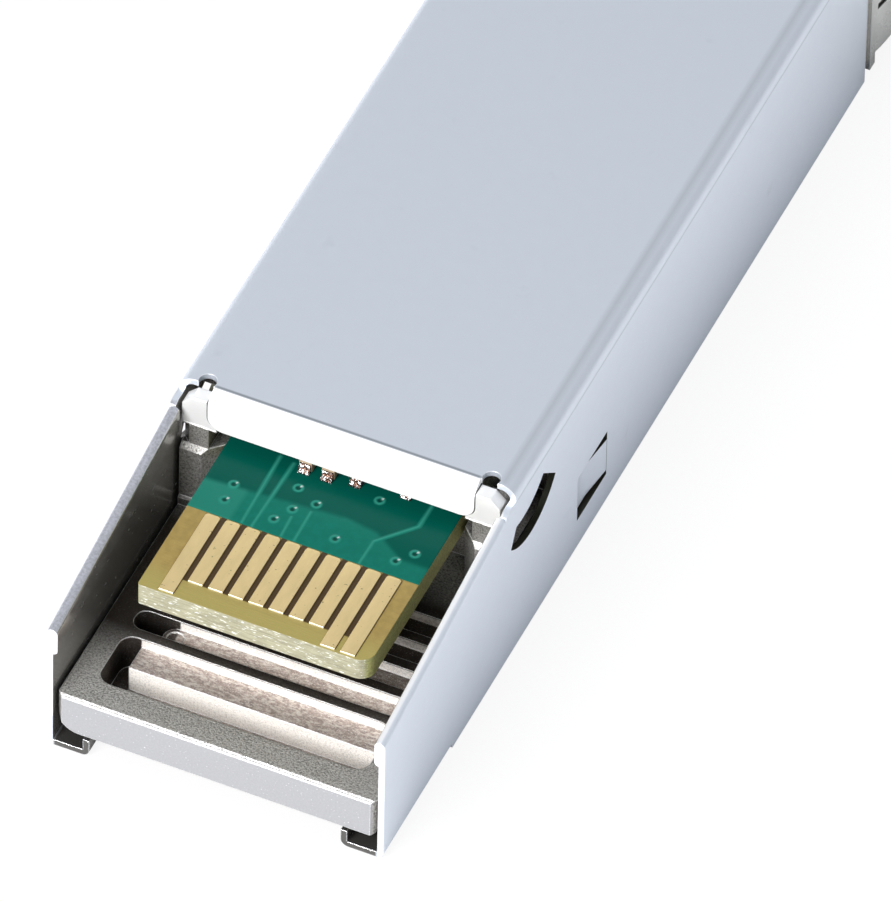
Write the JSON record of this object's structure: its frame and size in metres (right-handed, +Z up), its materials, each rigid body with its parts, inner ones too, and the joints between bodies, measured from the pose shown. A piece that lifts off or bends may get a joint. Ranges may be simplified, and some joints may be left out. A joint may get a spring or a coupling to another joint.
{
  "type": "pluggable optical transceiver",
  "caption": "Slim metal plug-in optical module with a card-edge connector at one end and a duplex optical port with a bail latch at the other.",
  "frame": {"origin": "centre of the bounding box at its lowest face: the module lies latch side up, as in the picture", "axes": "+Y from the card edge towards the optical ports, +Z up out of the latch side, X across the width"},
  "size_m": [0.0146, 0.0564, 0.0089],
  "materials": {
    "die_casting": "nickel-plated die casting, sand-fine grain",
    "cover_sheet": "satin nickel-plated sheet",
    "spring_sheet": "bright spring sheet",
    "board_laminate": "glass-fibre laminate",
    "solder_mask": "gloss green mask",
    "gold_plating": "hard gold plating",
    "chip_mould": "moulded epoxy",
    "capacitor_body": "fired ceramic, tinned ends",
    "resistor_body": "glazed film, tinned ends",
    "bead_body": "ferrite, tinned ends",
    "solder": "bright solder",
    "can_metal": "gold-flashed steel",
    "barrel_metal": "turned stainless steel",
    "sleeve_ceramic": "polished ceramic",
    "flex_film": "polyimide film",
    "clamp_plastic": "moulded saddle",
    "latch_steel": "stamped stainless steel",
    "pin_steel": "ground steel",
    "spring_wire": "drawn wire",
    "bail_wire": "drawn stainless wire",
    "grip_plastic": "moulded grip"
  },
  "bodies": {
    "housing": {"base_housing": "die_casting", "cover": "cover_sheet", "emi_collar": "spring_sheet", "circuit_board": "board_laminate", "solder_mask_upper": "solder_mask", "solder_mask_lower": "solder_mask", "edge_contacts_upper": "gold_plating", "edge_contacts_lower": "gold_plating", "laser_driver_chip": "chip_mould", "controller_chip": "chip_mould", "memory_chip": "chip_mould", "amplifier_chip": "chip_mould", "chip_capacitors": "capacitor_body", "chip_resistors": "resistor_body", "ferrite_beads": "bead_body", "solder_joints": "solder", "transmitter_can": "can_metal", "transmitter_barrel": "barrel_metal", "transmitter_sleeve": "sleeve_ceramic", "transmitter_flex": "flex_film", "receiver_can": "can_metal", "receiver_barrel": "barrel_metal", "receiver_sleeve": "sleeve_ceramic", "receiver_flex": "flex_film", "optics_clamp": "clamp_plastic", "latch_pin": "pin_steel", "latch_spring": "spring_wire"},
    "bail": {"bail": "bail_wire", "bail_grip": "grip_plastic"},
    "lever": {"latch_lever": "latch_steel"}
  },
  "joints": [
    {"name": "bail_swing", "type": "hinge", "parent": "housing", "child": "bail", "pos_m": [0, 0.02525, 0.00765], "axis": [1, 0, 0], "range_deg": [0, 90]},
    {"name": "lever_rock", "type": "hinge", "parent": "housing", "child": "lever", "pos_m": [0, 0.02175, 0.0077], "axis": [1, 0, 0], "range_deg": [0, 5.7], "stiffness_Nm_per_rad": 0.002, "springref_deg": -5.73, "deforming": ["latch_spring"]}
  ],
  "couplings": [
    {"joint": "lever_rock", "follows": "bail_swing", "ratio": 0.06333}
  ]
}
